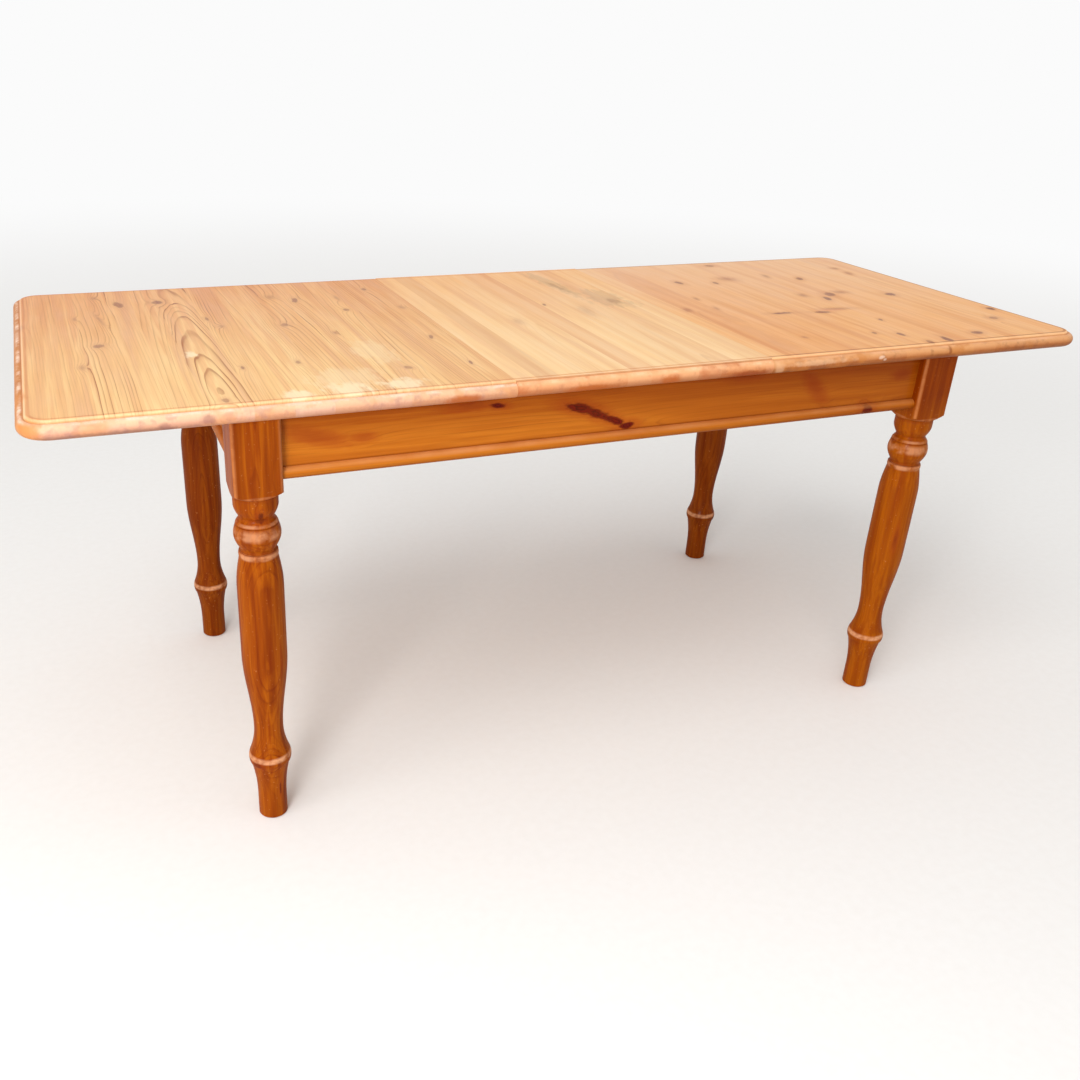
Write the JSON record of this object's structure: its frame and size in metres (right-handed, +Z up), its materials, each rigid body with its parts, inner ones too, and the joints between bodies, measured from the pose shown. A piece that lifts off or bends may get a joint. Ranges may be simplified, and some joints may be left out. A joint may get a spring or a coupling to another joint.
{
  "type": "extending dining table",
  "caption": "Pine dining table with turned legs and a beaded apron frame; two half tops slide apart on grooved runners and a lift-out centre leaf lies between them.",
  "frame": {"origin": "middle of the table's footprint, on the floor", "axes": "+X along the table to the right, +Y away from the side seen in the picture, +Z up"},
  "size_m": [1.9, 0.76, 0.765],
  "materials": {
    "pine_legs": "turned pine, amber stain, satin lacquer",
    "pine_aprons": "planed pine, amber stain, satin lacquer",
    "pine_top": "edge-glued pine boards, worn satin lacquer",
    "pine_leaf": "edge-glued pine boards, less aged satin lacquer",
    "pine_inside": "sawn and planed pine, bare",
    "beech": "planed beech, waxed",
    "zinc_steel": "zinc-plated steel"
  },
  "bodies": {
    "frame": {"leg_front_left": "pine_legs", "leg_front_right": "pine_legs", "leg_back_left": "pine_legs", "leg_back_right": "pine_legs", "apron_front": "pine_aprons", "apron_back": "pine_aprons", "apron_left": "pine_aprons", "apron_right": "pine_aprons", "bead_front": "pine_aprons", "bead_back": "pine_aprons", "bead_left": "pine_aprons", "bead_right": "pine_aprons", "brace_front_left": "pine_inside", "brace_front_right": "pine_inside", "brace_back_left": "pine_inside", "brace_back_right": "pine_inside", "hanger_bolts": "zinc_steel", "bolt_washers": "zinc_steel", "bolt_nuts": "zinc_steel", "brace_screws": "zinc_steel", "cross_rail_left": "pine_inside", "cross_rail_centre": "pine_inside", "cross_rail_right": "pine_inside", "rail_glue_blocks": "pine_inside", "guide_rail_front": "beech", "guide_rail_back": "beech", "guide_screws": "zinc_steel"},
    "left_half": {"half_top_left": "pine_top", "runner_left_front": "beech", "runner_left_back": "beech", "runner_screws_left": "zinc_steel", "stop_pegs_left": "beech", "joint_pegs_left": "beech"},
    "right_half": {"half_top_right": "pine_top", "runner_right_front": "beech", "runner_right_back": "beech", "runner_screws_right": "zinc_steel", "stop_pegs_right": "beech", "joint_pegs_right": "beech"},
    "leaf": {"leaf_panel": "pine_leaf", "leaf_batten_front": "pine_inside", "leaf_batten_back": "pine_inside", "leaf_batten_screws": "zinc_steel"}
  },
  "joints": [
    {"name": "left_half_slide", "type": "slide", "parent": "frame", "child": "left_half", "axis": [-1, 0, 0], "range_m": [0, 0.06]},
    {"name": "right_half_slide", "type": "slide", "parent": "frame", "child": "right_half", "axis": [1, 0, 0], "range_m": [0, 0.06]},
    {"name": "leaf_lift", "type": "slide", "parent": "frame", "child": "leaf", "axis": [0, 0, 1], "range_m": [0, 0.2]}
  ]
}
